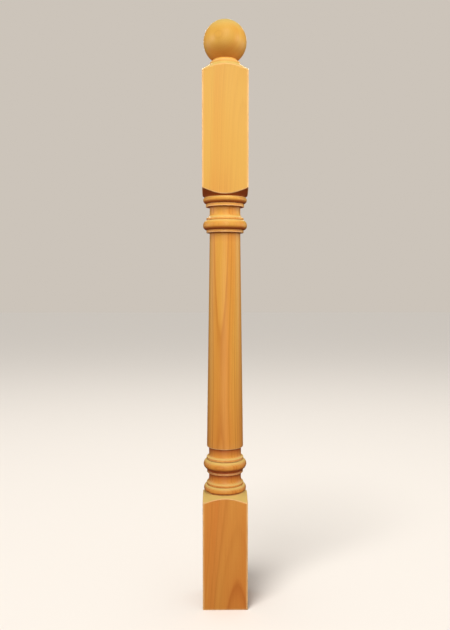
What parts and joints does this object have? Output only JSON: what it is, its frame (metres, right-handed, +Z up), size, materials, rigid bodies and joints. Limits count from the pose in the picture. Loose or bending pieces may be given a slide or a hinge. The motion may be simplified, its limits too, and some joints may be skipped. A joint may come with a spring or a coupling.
{
  "type": "newel post",
  "caption": "Turned hardwood newel post with a ball top, square blocks for rail and stair, and a tapered round shaft between collars of beads and coves.",
  "frame": {"origin": "middle of the square foot, on the surface that the post stands on", "axes": "+Z up along the turning axis, -Y the front face that the picture shows, +X to its right"},
  "size_m": [0.0888, 0.0888, 1.1568],
  "materials": {
    "hardwood": "honey-coloured light hardwood, fine grain, turned and sanded, thin satin finish"
  },
  "bodies": {
    "root": {"newel_post": "hardwood"}
  },
  "joints": []
}
